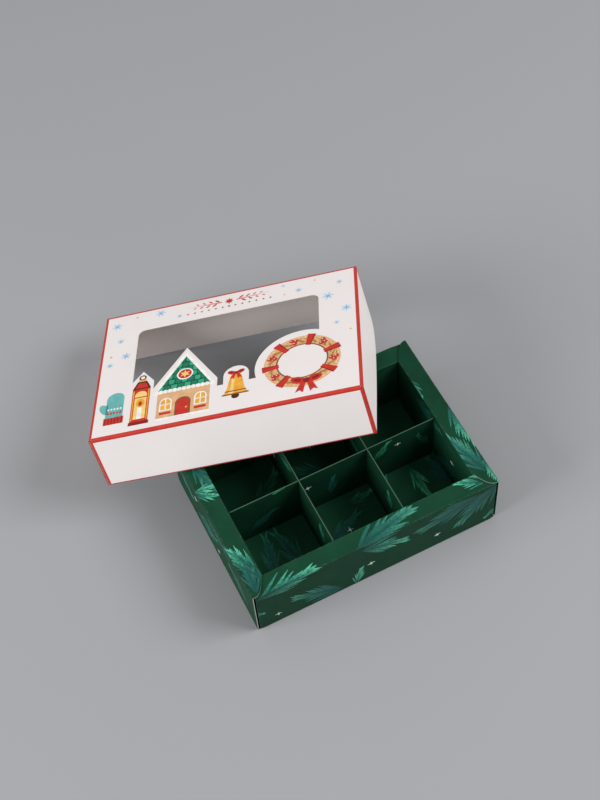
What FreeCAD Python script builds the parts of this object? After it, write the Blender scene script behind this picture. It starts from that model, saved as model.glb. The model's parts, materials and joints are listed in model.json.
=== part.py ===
import FreeCAD, Part
import math
import os

from FreeCAD import Vector

# A printed folding carton for sweets: a hollow-walled tray with six cells and a
# lift-off lid with a die-cut window. The lid leans on the tray, as it was set down.
# Frame: origin at the centre of the tray's underside, +Z up, +X along the long side
# to the right, +Y to the back. Lengths are millimetres, angles are degrees.

# Board and film
board = 0.45
film_thickness = 0.15
fold_radius = 0.75

# Tray
tray_length = 133.7
tray_width = 95.2
tray_height = 36.5
ledge_width = 9.9
corner_gap = 0.8
corner_round = 2.2
foot_clearance = 1.4

# Divider insert
insert_clearance = 0.4
insert_drop = 1.4
slot_clearance = 0.15
slot_depth_share = 0.5
columns = 3

# Lid
lid_height = 30.3
lid_fit = 1.2
tab_width = 13.0
left_border = 19.5
right_border = 20.5
front_border = 22.75
back_border = 17.25
window_round = 4.0
film_lap = 5.0

# Solid silhouettes that rise into the window from its front edge
wreath_radius = 24.1
wreath_centre_shares = (0.285, -0.208)
bell_width = 13.0
bell_centre_share = 0.040
bell_top_share = -0.142
gable_widths = {"lantern": 12.0, "house": 34.0}
gable_centre_shares = {"lantern": -0.318, "house": -0.155}
gable_eaves_shares = {"lantern": -0.122, "house": -0.203}
gable_ridge_shares = {"lantern": -0.036, "house": 0.091}

# How the lid leans: its turn in plan and the place of its low rear left corner
lid_turn = -21.9
low_corner_side_share = 0.0317
low_corner_reach_share = 0.840
lean_clearance = 0.25
floor_clearance = 0.2
settle_steps = 40

# Spare length of every cutting solid
overrun = 5.0

# Sizes that follow from those above
foot_width = ledge_width - 2 * fold_radius - foot_clearance
well_length = tray_length - 2 * ledge_width
well_width = tray_width - 2 * ledge_width
insert_foot = board + insert_clearance
insert_top = tray_height - insert_drop
lid_length = tray_length + 2 * (lid_fit + board)
lid_width = tray_width + 2 * (lid_fit + board)
window_left = left_border - lid_length / 2
window_right = lid_length / 2 - right_border
window_front = front_border - lid_width / 2
window_back = lid_width / 2 - back_border

# The four sides, in the order that quarter turns bring them round from the front
SIDES = ("front", "right", "back", "left")


def save(shape, node):
    """Write one piece under its own name."""
    shape.exportStep(f"parts/{node}.step")


def slab(x_range, y_range, z_range):
    """Upright block between two limits along each axis."""
    low = Vector(x_range[0], y_range[0], z_range[0])
    size = Vector(x_range[1], y_range[1], z_range[1]) - low
    return Part.makeBox(size.x, size.y, size.z, low)


def centred(length):
    """Limits of a length laid evenly about zero."""
    return (-length / 2, length / 2)


def quarter(start, centre, end):
    """Quarter-circle edge about a centre."""
    reach = (start - centre) + (end - centre)
    middle = centre + reach.normalize() * (start - centre).Length
    return Part.Arc(start, middle, end).toShape()


def line(start, end):
    """Straight edge."""
    return Part.makeLine(start, end)


def extrude(edges, way):
    """Solid swept along a vector from a closed outline."""
    return Part.Face(Part.Wire(edges)).extrude(way)


def folded_wall(length, low, high, foot_fold):
    """Standing sheet of board with a fold along its top, and along its foot if asked.

    It runs along X, its outer face on Y = 0, and both folds turn towards +Y.
    """
    x = -length / 2
    inner = fold_radius - board

    def at(depth, height):
        return Vector(x, depth, height)

    top = at(fold_radius, high - fold_radius)
    edges = [
        quarter(at(0, high - fold_radius), top, at(fold_radius, high)),
        line(at(fold_radius, high), at(fold_radius, high - board)),
        quarter(at(fold_radius, high - fold_radius + inner), top, at(board, high - fold_radius)),
    ]
    if foot_fold:
        foot = at(fold_radius, low + fold_radius)
        edges += [
            line(at(board, high - fold_radius), at(board, low + fold_radius)),
            quarter(at(board, low + fold_radius), foot, at(fold_radius, low + board)),
            line(at(fold_radius, low + board), at(fold_radius, low)),
            quarter(at(fold_radius, low), foot, at(0, low + fold_radius)),
            line(at(0, low + fold_radius), at(0, high - fold_radius)),
        ]
    else:
        edges += [
            line(at(board, high - fold_radius), at(board, low)),
            line(at(board, low), at(0, low)),
            line(at(0, low), at(0, high - fold_radius)),
        ]
    return extrude(edges, Vector(length, 0, 0))


def mitre_wedge(length):
    """Space that one side of the tray may fill, between its two corner seams."""
    set_back = corner_gap / math.sqrt(2)
    half = length / 2 - set_back
    depth = ledge_width + overrun
    points = [
        Vector(-half, 0, -overrun),
        Vector(half, 0, -overrun),
        Vector(half - depth, depth, -overrun),
        Vector(depth - half, depth, -overrun),
    ]
    edges = [line(points[i - 1], points[i]) for i in range(len(points))]
    return extrude(edges, Vector(0, 0, tray_height + 2 * overrun))


def rounded_end_plate(length):
    """Space of an outer wall whose two lower corners are rounded."""
    half = length / 2 - corner_gap / math.sqrt(2)
    rise = tray_height + overrun
    bend = corner_round
    edges = [
        line(Vector(-half, 0, rise), Vector(-half, 0, bend)),
        quarter(Vector(-half, 0, bend), Vector(bend - half, 0, bend), Vector(bend - half, 0, 0)),
        line(Vector(bend - half, 0, 0), Vector(half - bend, 0, 0)),
        quarter(Vector(half - bend, 0, 0), Vector(half - bend, 0, bend), Vector(half, 0, bend)),
        line(Vector(half, 0, bend), Vector(half, 0, rise)),
        line(Vector(half, 0, rise), Vector(-half, 0, rise)),
    ]
    return extrude(edges, Vector(0, ledge_width, 0))


def put_on_side(shape, turns, length, width):
    """Turn a front piece round to one of the four sides of a length by width box."""
    reach = width / 2 if turns % 2 == 0 else length / 2
    moved = shape.copy()
    moved.translate(Vector(0, -reach, 0))
    moved.rotate(Vector(0, 0, 0), Vector(0, 0, 1), 90 * turns)
    return moved


def side_length(turns, length, width):
    """Length of the wall on one side of a length by width box."""
    return length if turns % 2 == 0 else width


def tray_sides():
    """Outer wall, ledge, inner wall and hidden foot flap of each side of the tray."""
    pieces = {}
    for turns, side in enumerate(SIDES):
        length = side_length(turns, tray_length, tray_width)
        wedge = mitre_wedge(length)
        inner_fold = ledge_width - fold_radius
        outer = folded_wall(length, 0, tray_height, True).common(rounded_end_plate(length))
        ledge = slab(centred(length), (fold_radius, inner_fold), (tray_height - board, tray_height))
        inner = folded_wall(length, board, tray_height, True)
        inner = inner.mirror(Vector(0, ledge_width / 2, 0), Vector(0, 1, 0))
        foot = slab(centred(length), (inner_fold - foot_width, inner_fold), (board, 2 * board))
        for name, shape in (
            ("outer_wall", outer),
            ("ledge", ledge),
            ("inner_wall", inner),
            ("foot_flap", foot),
        ):
            mitred = shape.common(wedge).Solids[0]
            pieces[f"tray_{side}_{name}"] = put_on_side(mitred, turns, tray_length, tray_width)
    return pieces


def tray_floor():
    """Bottom panel between the foot folds of the four outer walls."""
    length = tray_length - 2 * fold_radius
    width = tray_width - 2 * fold_radius
    return slab(centred(length), centred(width), (0, board))


def insert_pieces():
    """Long divider and the short dividers that drop over it, halved together."""
    height = insert_top - insert_foot
    halving = insert_foot + height * (1 - slot_depth_share)
    slot = board + 2 * slot_clearance
    span = well_length - 2 * insert_clearance
    cross_span = well_width - 2 * insert_clearance
    long_divider = slab(centred(span), centred(board), (insert_foot, insert_top))
    pieces = {}
    names = ("left_short_divider", "right_short_divider")
    for i, name in enumerate(names):
        x = well_length * ((i + 1) / columns - 1 / 2)
        short = slab(centred(board), centred(cross_span), (insert_foot, insert_top))
        short = short.cut(slab(centred(slot), centred(slot), (insert_foot - overrun, halving)))
        short.translate(Vector(x, 0, 0))
        pieces[name] = short
        notch = slab(centred(slot), centred(slot), (halving, insert_top + overrun))
        notch.translate(Vector(x, 0, 0))
        long_divider = long_divider.cut(notch)
    pieces["long_divider"] = long_divider
    return pieces


def bell_arch():
    """Round-topped silhouette that rises into the window."""
    half = bell_width / 2
    x = bell_centre_share * lid_length
    spring = bell_top_share * lid_width - half
    depth = (-overrun, lid_height + overrun)
    post = slab((x - half, x + half), (window_front - overrun, spring), depth)
    crown = Part.makeCylinder(half, depth[1] - depth[0], Vector(x, spring, depth[0]))
    return post.fuse(crown)


def gable(name):
    """Roof-topped silhouette that rises into the window."""
    half = gable_widths[name] / 2
    x = gable_centre_shares[name] * lid_length
    eaves = gable_eaves_shares[name] * lid_width
    ridge = gable_ridge_shares[name] * lid_width
    points = [
        Vector(x - half, window_front - overrun, -overrun),
        Vector(x + half, window_front - overrun, -overrun),
        Vector(x + half, eaves, -overrun),
        Vector(x, ridge, -overrun),
        Vector(x - half, eaves, -overrun),
    ]
    edges = [line(points[i - 1], points[i]) for i in range(len(points))]
    return extrude(edges, Vector(0, 0, lid_height + 2 * overrun))


def window_cut():
    """Opening of the lid: a rounded rectangle less the silhouettes."""
    depth = (-overrun, lid_height + overrun)
    opening = slab((window_left, window_right), (window_front, window_back), depth)
    upright = [e for e in opening.Edges if e.BoundBox.ZLength > lid_height]
    opening = opening.makeFillet(window_round, upright)
    centre = Vector(
        wreath_centre_shares[0] * lid_length, wreath_centre_shares[1] * lid_width, depth[0]
    )
    wreath = Part.makeCylinder(wreath_radius, depth[1] - depth[0], centre)
    silhouettes = [wreath, bell_arch()]
    silhouettes += [gable(name) for name in gable_widths]
    return opening.cut(silhouettes)


def lid_corner_tab(low, high):
    """Glue tab at the right end of a front wall, folded behind the right wall."""
    inner = fold_radius - board
    face = lid_length / 2 - board
    bend = Vector(face - fold_radius, fold_radius, low)
    tip = fold_radius + tab_width

    def at(x, y):
        return Vector(x, y, low)

    edges = [
        quarter(at(bend.x, 0), bend, at(face, fold_radius)),
        line(at(face, fold_radius), at(face, tip)),
        line(at(face, tip), at(face - board, tip)),
        line(at(face - board, tip), at(face - board, fold_radius)),
        quarter(at(face - board, fold_radius), bend, at(bend.x, fold_radius - inner)),
        line(at(bend.x, fold_radius - inner), at(bend.x, 0)),
    ]
    return extrude(edges, Vector(0, 0, high - low))


def lid_pieces():
    """Windowed top, four walls, four glue tabs and the film, in the lid's own frame.

    The lid's frame has its origin at the centre of the open rim and +Z to its top.
    """
    inside_top = lid_height - board
    top_length = lid_length - 2 * fold_radius
    top_width = lid_width - 2 * fold_radius
    top = slab(centred(top_length), centred(top_width), (inside_top, lid_height))
    pieces = {"lid_top_panel": top.cut(window_cut()).Solids[0]}
    pieces["lid_window_film"] = slab(
        (window_left - film_lap, window_right + film_lap),
        (window_front - film_lap, window_back + film_lap),
        (inside_top - film_thickness, inside_top),
    )
    for turns, side in enumerate(SIDES):
        length = side_length(turns, lid_length, lid_width)
        if turns % 2 == 0:
            length -= 2 * (board + fold_radius)
        wall = folded_wall(length, 0, lid_height, False)
        pieces[f"lid_{side}_wall"] = put_on_side(wall, turns, lid_length, lid_width)
    tab = lid_corner_tab(0, lid_height - fold_radius)
    mirrored = tab.mirror(Vector(0, 0, 0), Vector(1, 0, 0))
    for side, hands in (("front", ("right", "left")), ("back", ("left", "right"))):
        for hand, shape in zip(hands, (tab, mirrored)):
            turns = SIDES.index(side)
            pieces[f"lid_{side}_{hand}_tab"] = put_on_side(shape, turns, lid_length, lid_width)
    return pieces


def lean_placement():
    """Place of the lid as it leans on the tray.

    Its low rear left corner stands on the table, its front wall crosses the tray's left
    rim and its right wall crosses the tray's back rim. The slopes of the rim's plane are
    settled until the inner edges of both walls clear the rims by the named amount.
    """
    turn = math.radians(lid_turn)
    corner = Vector(
        low_corner_side_share * lid_length - tray_length / 2,
        tray_width / 2 + low_corner_reach_share * lid_width,
        floor_clearance,
    )
    rest = tray_height + lean_clearance - floor_clearance
    rise_x = 0
    rise_y = 0
    for _ in range(settle_steps):
        climb = rise_x * math.cos(turn) + rise_y * math.sin(turn)
        along = Vector(math.cos(turn), math.sin(turn), climb).normalize()
        normal = Vector(-rise_x, -rise_y, 1).normalize()
        across = normal.cross(along)
        front_edge = across * (board - lid_width)
        right_edge = along * (lid_length - board)
        left_touch = front_edge + along * ((-tray_length / 2 - corner.x - front_edge.x) / along.x)
        back_touch = right_edge + across * ((tray_width / 2 - corner.y - right_edge.y) / across.y)
        spread = left_touch.x * back_touch.y - back_touch.x * left_touch.y
        rise_x = rest * (back_touch.y - left_touch.y) / spread
        rise_y = rest * (left_touch.x - back_touch.x) / spread
    centre = corner + along * (lid_length / 2) - across * (lid_width / 2)
    return FreeCAD.Placement(
        FreeCAD.Matrix(
            along.x, across.x, normal.x, centre.x,
            along.y, across.y, normal.y, centre.y,
            along.z, across.z, normal.z, centre.z,
            0, 0, 0, 1,
        )
    )


def main():
    os.makedirs("parts", exist_ok=True)
    save(tray_floor(), "tray_floor_panel")
    for node, shape in tray_sides().items():
        save(shape, node)
    for node, shape in insert_pieces().items():
        save(shape, node)
    place = lean_placement()
    for node, shape in lid_pieces().items():
        save(shape.transformed(place.toMatrix()), node)


main()
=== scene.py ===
import functools
import json
import math

import bmesh
import bpy
from bpy.props import FloatProperty, FloatVectorProperty, IntProperty, PointerProperty
from mathutils import Euler, Matrix, Vector


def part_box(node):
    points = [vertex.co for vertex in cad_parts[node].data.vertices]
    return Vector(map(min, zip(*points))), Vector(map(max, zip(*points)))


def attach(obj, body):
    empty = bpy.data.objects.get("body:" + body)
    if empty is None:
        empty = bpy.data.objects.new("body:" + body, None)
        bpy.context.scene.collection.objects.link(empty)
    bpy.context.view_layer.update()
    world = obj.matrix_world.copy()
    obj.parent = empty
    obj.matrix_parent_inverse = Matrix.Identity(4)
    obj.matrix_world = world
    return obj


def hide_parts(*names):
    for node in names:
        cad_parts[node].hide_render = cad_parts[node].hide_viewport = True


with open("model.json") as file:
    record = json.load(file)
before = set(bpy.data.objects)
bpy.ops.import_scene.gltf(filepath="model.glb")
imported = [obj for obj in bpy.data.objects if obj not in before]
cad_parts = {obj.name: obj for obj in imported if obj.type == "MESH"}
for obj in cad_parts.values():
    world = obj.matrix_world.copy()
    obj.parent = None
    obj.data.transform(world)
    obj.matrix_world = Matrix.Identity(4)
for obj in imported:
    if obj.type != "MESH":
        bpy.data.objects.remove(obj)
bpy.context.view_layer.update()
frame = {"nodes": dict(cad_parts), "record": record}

bl_info = {
    "name": "Sweet Box Carton",
    "version": (1, 0, 0),
    "blender": (4, 5, 0),
    "location": "View3D > Sidebar > Sweet Box",
    "description": "Dresses a folding sweet box: printed tray, dividers and windowed lid",
    "category": "Object",
}

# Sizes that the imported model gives, in metres
BODIES = frame["record"]["behaviour"]["bodies"]
MM = 0.001
SIDES = ("front", "right", "back", "left")
# The tray's skin lies this far inside the CAD face, so that its ink stays inside the CAD box
INK_ROOM = 0.1 * MM


def node_size(node):
    """Length of a CAD node along each axis."""
    low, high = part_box(node)
    return high - low


def read_lid():
    """Lid's own frame and size, read from its nodes: origin at the centre of the open rim."""
    film = [v.co.copy() for v in frame["nodes"]["lid_window_film"].data.vertices]
    reaches = {tuple(round(c, 7) for c in co - film[0]) for co in film}
    reaches = sorted((Vector(reach) for reach in reaches), key=lambda reach: reach.length)
    # The film is a thin plate: its shortest edge stands up, and the next one lies across the lid
    up = reaches[1].normalized()
    up = up if up.z > 0 else -up
    flat = [reach for reach in reaches if abs(reach.dot(up)) < MM * 0.01]
    across = next(reach for reach in flat if reach.length > MM)
    along = across.cross(up).normalized()
    along = along if along.x > 0 else -along
    axes = Matrix((along, up.cross(along), up))
    points = [axes @ v.co for node in BODIES["lid"] for v in frame["nodes"][node].data.vertices]
    low = Vector([min(p[i] for p in points) for i in range(3)])
    high = Vector([max(p[i] for p in points) for i in range(3)])
    rim = Vector(((low.x + high.x) / 2, (low.y + high.y) / 2, low.z))
    place = axes.transposed().to_4x4()
    place.translation = axes.transposed() @ rim
    return place, high - low


def node_size_along(node):
    """Length of a lid node along the lid's own X axis."""
    along = LID_PLACE.to_3x3().col[0]
    reaches = [v.co.dot(along) for v in frame["nodes"][node].data.vertices]
    return max(reaches) - min(reaches)


TRAY = Vector((
    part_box("tray_right_outer_wall")[1].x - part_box("tray_left_outer_wall")[0].x,
    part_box("tray_back_outer_wall")[1].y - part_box("tray_front_outer_wall")[0].y,
    node_size("tray_front_outer_wall").z,
))
BOARD = node_size("tray_floor_panel").z
FOLD = node_size("tray_front_outer_wall").y
LEDGE = node_size("tray_front_ledge").y + 2 * FOLD
FOOT = node_size("tray_front_foot_flap").y
LID_PLACE, LID = read_lid()


def linear(hex_colour):
    """Linear RGBA of an sRGB hex colour."""
    channels = [int(hex_colour[i:i + 2], 16) / 255 for i in (1, 3, 5)]
    return [c / 12.92 if c <= 0.04045 else ((c + 0.055) / 1.055) ** 2.4 for c in channels] + [1.0]


class CartonShape(bpy.types.PropertyGroup):
    """Small departures from flat board, and the widths of printed lines."""

    wall_bow: FloatProperty(
        name="Lid wall bow", description="How far the lid's right wall bulges at its rim",
        default=1.9 * MM, unit="LENGTH")
    bow_lean: FloatProperty(
        name="Bow lean", description="Share by which that bulge moves towards the wall's back end",
        default=0.75, subtype="FACTOR")
    board_wave: FloatProperty(
        name="Board wave", description="How far the other panels bow from flat",
        default=0.35 * MM, unit="LENGTH")
    corner_round: FloatProperty(
        name="Corner round", description="Radius of the lower corners of the tray walls",
        default=3.4 * MM, unit="LENGTH")
    corner_gap: FloatProperty(
        name="Corner gap", description="Open gap beside the cut edge at each corner of the tray",
        default=1.15 * MM, unit="LENGTH")
    mitre_gap: FloatProperty(
        name="Mitre gap", description="Set-back of each ledge from its mitre line",
        default=0.12 * MM, unit="LENGTH")
    ledge_lap: FloatProperty(
        name="Ledge lap", description="How far the rounded ends of the short ledges lap over the long ones",
        default=3.0 * MM, unit="LENGTH")
    corner_droop: FloatProperty(
        name="Corner droop", description="How far the outer corners of the long ledges sink",
        default=1.2 * MM, unit="LENGTH")
    corner_lift: FloatProperty(
        name="Corner lift", description="How far the front ends of the short ledges spring up",
        default=0.9 * MM, unit="LENGTH")
    border: FloatProperty(
        name="Top border line", description="Width of the red line on the lid's top beside a crease",
        default=1.5 * MM, unit="LENGTH")
    wall_border: FloatProperty(
        name="Wall border line", description="Width of the red line on the lid walls beside a crease",
        default=1.8 * MM, unit="LENGTH")
    # The rim line's dark red is partly printed red and partly painted shade along the cut edge.
    rim_line: FloatProperty(
        name="Rim line", description="Width of the dark red line along the lid's open rim",
        default=0.6 * MM, unit="LENGTH")
    ink: FloatProperty(
        name="Ink layer", description="Height of one printed layer over the next",
        default=0.012 * MM, unit="LENGTH", precision=6)
    seed: IntProperty(name="Seed", description="Seed of the scattered print", default=11)


class CartonColours(bpy.types.PropertyGroup):
    """Colours of the board and its inks."""

    forest: FloatVectorProperty(
        name="Forest ground", description="Printed ground of the tray", subtype="COLOR", size=4,
        default=linear("#153F2C"))
    paper: FloatVectorProperty(
        name="White ground", description="Printed ground of the lid", subtype="COLOR", size=4,
        default=linear("#EDE6E4"))
    raw: FloatVectorProperty(
        name="Raw board", description="Uncoated back of the board", subtype="COLOR", size=4,
        default=linear("#FBEFEA"))
    edge: FloatVectorProperty(
        name="Cut edge", description="Cut edges of the board", subtype="COLOR", size=4,
        default=linear("#AEBBB0"))
    divider_edge: FloatVectorProperty(
        name="Divider edge", description="Cut top edges of the dividers", subtype="COLOR", size=4,
        default=linear("#47644F"))
    border: FloatVectorProperty(
        name="Border red", description="Lines along the lid's creases", subtype="COLOR", size=4,
        default=linear("#C23A30"))
    floor: FloatVectorProperty(
        name="Studio floor", description="Plain sheet under the object", subtype="COLOR", size=4,
        default=linear("#9A9B9E"))


class CartonStage(bpy.types.PropertyGroup):
    """Camera and light."""

    azimuth: FloatProperty(
        name="Azimuth", description="Turn of the camera round the object",
        default=math.radians(-21.68), subtype="ANGLE")
    elevation: FloatProperty(
        name="Elevation", description="Camera's height over the horizon",
        default=math.radians(57.64), subtype="ANGLE")
    roll: FloatProperty(
        name="Roll", description="Turn of the camera about its own view",
        default=math.radians(5.74), subtype="ANGLE")
    eye: FloatVectorProperty(
        name="Eye", description="Place of the camera", default=(-0.1484, -0.3382, 0.680),
        subtype="TRANSLATION", unit="LENGTH")
    lens: FloatProperty(
        name="Lens", description="Focal length in millimetres", default=67.65, unit="CAMERA")
    left_key: FloatProperty(
        name="Left soft box", description="Power of the soft box on the left", default=16.7, unit="POWER")
    right_key: FloatProperty(
        name="Right soft box", description="Power of the soft box on the right", default=15.1, unit="POWER")
    fill: FloatProperty(name="Fill light", description="Strength of the plain surround", default=0.436)


class SweetBox(bpy.types.PropertyGroup):
    """All settings of the sweet box."""

    shape: PointerProperty(type=CartonShape)
    colours: PointerProperty(type=CartonColours)
    stage: PointerProperty(type=CartonStage)


# Nodes and materials

# Sockets whose names repeat are given by number: in Mix 0 is the share, 2 and 3 are plain values and
# 6 and 7 are colours, and in Random Value 2 and 3 are the limits and 8 is the seed
MATH, MIX, RANDOM = "ShaderNodeMath", "ShaderNodeMix", "FunctionNodeRandomValue"
NOISE, RANGE = "ShaderNodeTexNoise", "ShaderNodeMapRange"
SPLIT, JOIN = "ShaderNodeSeparateXYZ", "ShaderNodeCombineXYZ"
# Most of a noise lies between these two levels
NOISE_SPAN = {"From Min": 0.3, "From Max": 0.7}
# Specular level of satin varnish over a solid dark ground, over ink, and over white or raw board
GROUND_SPECULAR, INK_SPECULAR, BOARD_SPECULAR = 0.07, 0.15, 0.5
# Patch size and the two brightness levels of the grounds that more than one material shows
WHITE_GROUND = (14 * MM, 0.975, 1.0)
RAW_GROUND = (1.2 * MM, 0.96, 1.02)
RED_GROUND = (4 * MM, 0.9, 1.06)
# How much brighter the floor's print is than that of the walls: painted light on the floor of the cells
FLOOR_PAINTED_LIGHT = 1.4
# Shares of the board's thickness that show the print at a face, and the cut colour at an edge
PRINT_SKIN, CUT_SKIN = 0.12, 0.1
# Shares of a needle's length and of its pick in its place on the ramp of colours, and the shift that
# sets the middle of a fresh sprig's needles near the middle colour
RAMP_ALONG, RAMP_PICK, RAMP_SHIFT = 0.6, 0.85, 1.68


def set_inputs(tree, node, inputs):
    """Set a node's inputs or link them; a node given as a value is linked by its first live output."""
    for name, value in inputs.items():
        if isinstance(value, bpy.types.Node):
            value = next(socket for socket in value.outputs if socket.enabled)
        if isinstance(value, bpy.types.NodeSocket):
            tree.links.new(value, node.inputs[name])
        else:
            node.inputs[name].default_value = value


def add_node(tree, kind, inputs=None, **settings):
    """Add one node, apply its settings, then set or link its inputs."""
    made = tree.nodes.new(kind)
    for name, value in settings.items():
        setattr(made, name, value)
    set_inputs(tree, made, inputs or {})
    return made


class Finish:
    """A material in the making, with its Principled shader and its Object coordinates."""

    def __init__(self, name):
        self.material = bpy.data.materials.new(name)
        self.material.use_nodes = True
        self.tree = self.material.node_tree
        self.shader = self.tree.nodes["Principled BSDF"]
        self.add = functools.partial(add_node, self.tree)
        self.coords = self.add("ShaderNodeTexCoord").outputs["Object"]

    def mottled(self, colour, feature, low, high):
        """Colour that wanders between two brightness levels over patches of one size."""
        noise = self.add(NOISE, {
            "Vector": self.coords, "Scale": 1 / feature, "Detail": 4.0, "Roughness": 0.55})
        level = self.add(RANGE, {"Value": noise, **NOISE_SPAN, "To Min": low, "To Max": high})
        return self.add("ShaderNodeHueSaturation", {"Value": level, "Color": tuple(colour)})

    def lid_axes(self):
        """Coordinates in the lid's own frame, split by axis."""
        local = self.add("ShaderNodeMapping", {
            "Vector": self.coords, "Location": LID_PLACE.translation,
            "Rotation": LID_PLACE.to_euler()}, vector_type="TEXTURE")
        return self.add(SPLIT, {"Vector": local}).outputs

    def beyond(self, axis, limit):
        """1 where a coordinate, of either sign, is past a limit, and 0 elsewhere."""
        size = self.add(MATH, {0: axis}, operation="ABSOLUTE")
        return self.add(MATH, {0: size, 1: limit}, operation="GREATER_THAN")

    def paper(self, colour, fibre, height, gloss, specular=BOARD_SPECULAR):
        """Lay a colour over fine fibre relief with an uneven sheen, and give the finished material."""
        grain = self.add(NOISE, {
            "Vector": self.coords, "Scale": 1 / fibre, "Detail": 3.0, "Roughness": 0.6})
        sheen = self.add(RANGE, {"Value": grain, **NOISE_SPAN, "To Min": gloss[0], "To Max": gloss[1]})
        relief = self.add("ShaderNodeBump", {"Height": grain, "Distance": height, "Strength": 0.6})
        set_inputs(self.tree, self.shader, {
            "Base Color": colour, "Roughness": sheen, "Normal": relief, "Specular IOR Level": specular})
        return self.material


def forest_board(colours, name="outside", level=1.0):
    """Folding boxboard with a solid offset-printed ground under satin varnish.

    The eye sees a deep even green with a faint cloudiness, a soft sheen, and paler fibres
    where the print has cracked along the folds.
    """
    finish = Finish(f"folding_boxboard_forest_print_{name}")
    # A level above 1 paints the green brighter (painted light), as on the tray's floor.
    ground = finish.mottled(colours.forest, 9 * MM, 0.86 * level, 1.12 * level)
    crease = finish.add("ShaderNodeAttribute", attribute_name="crease").outputs["Fac"]
    crack = finish.add(NOISE, {"Vector": finish.coords, "Scale": 1 / (0.9 * MM), "Detail": 5.0})
    worn = finish.add(RANGE, {
        "Value": crack, "From Min": 0.5, "From Max": 0.8, "To Min": 0.0, "To Max": 0.2})
    amount = finish.add(MATH, {0: crease, 1: worn}, operation="MULTIPLY")
    whole = finish.add(MIX, {0: amount, 6: ground, 7: linear("#7FA08E")}, data_type="RGBA")
    return finish.paper(whole, 0.5 * MM, 0.012 * MM, (0.42, 0.56), GROUND_SPECULAR)


def white_board(colours):
    """Folding boxboard, white clay coating under satin varnish.

    The eye sees a warm white that is almost even, with a low soft sheen.
    """
    finish = Finish("folding_boxboard_white_coated")
    ground = finish.mottled(colours.paper, *WHITE_GROUND)
    return finish.paper(ground, 0.5 * MM, 0.010 * MM, (0.44, 0.58))


def raw_board(colours):
    """Uncoated back of folding boxboard.

    The eye sees a dull, warm white sheet of short pressed fibres.
    """
    finish = Finish("folding_boxboard_raw_back")
    ground = finish.mottled(colours.raw, *RAW_GROUND)
    return finish.paper(ground, 0.35 * MM, 0.016 * MM, (0.8, 0.95))


def cut_board(colours):
    """Die-cut edge of folding boxboard.

    The eye sees a pale, slightly ragged line of pressed layers.
    """
    finish = Finish("folding_boxboard_cut_edge")
    ground = finish.mottled(colours.edge, 0.8 * MM, 0.82, 1.04)
    return finish.paper(ground, 0.2 * MM, 0.04 * MM, (0.85, 0.97))


def spot_ink(name, colour):
    """Offset ink on coated board under satin varnish.

    The eye sees a flat colour that wanders a little, with the sheen of the varnish.
    """
    finish = Finish(f"offset_ink_{name}")
    ground = finish.mottled(colour, 3.5 * MM, 0.86, 1.1)
    return finish.paper(ground, 0.5 * MM, 0.008 * MM, (0.4, 0.52), INK_SPECULAR)


def needle_ink(name, root, middle, tip, sunk):
    """Offset inks of a painted leaf under satin varnish.

    The eye sees each needle run from a deep root to a light tip, streaked along its length. A
    sprig whose tone is under 1 sinks back towards the ground colour, and one over 1 is brighter; the tones
    are partly the print's own dim and bright sprigs and partly painted light and shade of the faces they
    lie on.
    """
    finish = Finish(f"offset_ink_{name}")
    add = finish.add
    along, tone, pick = (
        add("ShaderNodeAttribute", attribute_name=key).outputs["Fac"] for key in ("along", "tone", "pick"))
    streak = add(NOISE, {"Vector": finish.coords, "Scale": 1 / (1.4 * MM), "Detail": 3.0})
    place = add(MATH, {0: along, 1: RAMP_ALONG, 2: streak}, operation="MULTIPLY_ADD")
    place = add(MATH, {0: pick, 1: RAMP_PICK, 2: place}, operation="MULTIPLY_ADD")
    fresh = add(MATH, {0: tone, 1: 1.0}, operation="MAXIMUM")
    place = add(MATH, {0: place, 1: fresh}, operation="ADD")
    place = add(MATH, {0: place, 1: RAMP_SHIFT}, operation="SUBTRACT")
    ramp = add("ShaderNodeValToRGB", {"Fac": place})
    ramp.color_ramp.elements[0].color = linear(root)
    ramp.color_ramp.elements[1].color = linear(tip)
    ramp.color_ramp.elements.new(0.5).color = linear(middle)
    whole = add(MIX, {0: tone, 6: linear(sunk), 7: ramp}, data_type="RGBA")
    return finish.paper(whole, 0.5 * MM, 0.008 * MM, (0.4, 0.52), INK_SPECULAR)


def bordered_panel(colours, shape):
    """Lid top in one sheet: white coated face, red border lines, raw back and cut edges.

    The eye sees the warm white print, a clean red line along each crease, the raw back from
    inside, and a pale line where the window was cut.
    """
    finish = Finish("folding_boxboard_bordered_print")
    axes = finish.lid_axes()
    masks = [finish.beyond(axes[axis], reach / 2 - shape.border)
             for axis, reach in (("X", LID.x), ("Y", LID.y))]
    border = finish.add(MATH, dict(enumerate(masks)), operation="MAXIMUM")
    white = finish.mottled(colours.paper, *WHITE_GROUND)
    red = finish.mottled(colours.border, *RED_GROUND)
    printed = finish.add(MIX, {0: border, 6: white, 7: red}, data_type="RGBA")
    on_face = finish.beyond(axes["Z"], LID.z - BOARD * PRINT_SKIN)
    back = finish.mottled(colours.raw, *RAW_GROUND)
    whole = finish.add(MIX, {0: on_face, 6: back, 7: printed}, data_type="RGBA")
    return finish.paper(whole, 0.5 * MM, 0.010 * MM, (0.44, 0.58))


def corner_board(colours):
    """Glue tabs of the lid: raw board, red on the bend that shows at the corner.

    The eye sees the red corner line from outside and the raw back of the board from inside.
    """
    finish = Finish("folding_boxboard_glue_tab")
    bend = finish.beyond(finish.lid_axes()["Y"], LID.y / 2 - FOLD)
    back = finish.mottled(colours.raw, *RAW_GROUND)
    red = finish.mottled(colours.border, *RED_GROUND)
    whole = finish.add(MIX, {0: bend, 6: back, 7: red}, data_type="RGBA")
    return finish.paper(whole, 0.5 * MM, 0.010 * MM, (0.5, 0.65))


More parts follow.
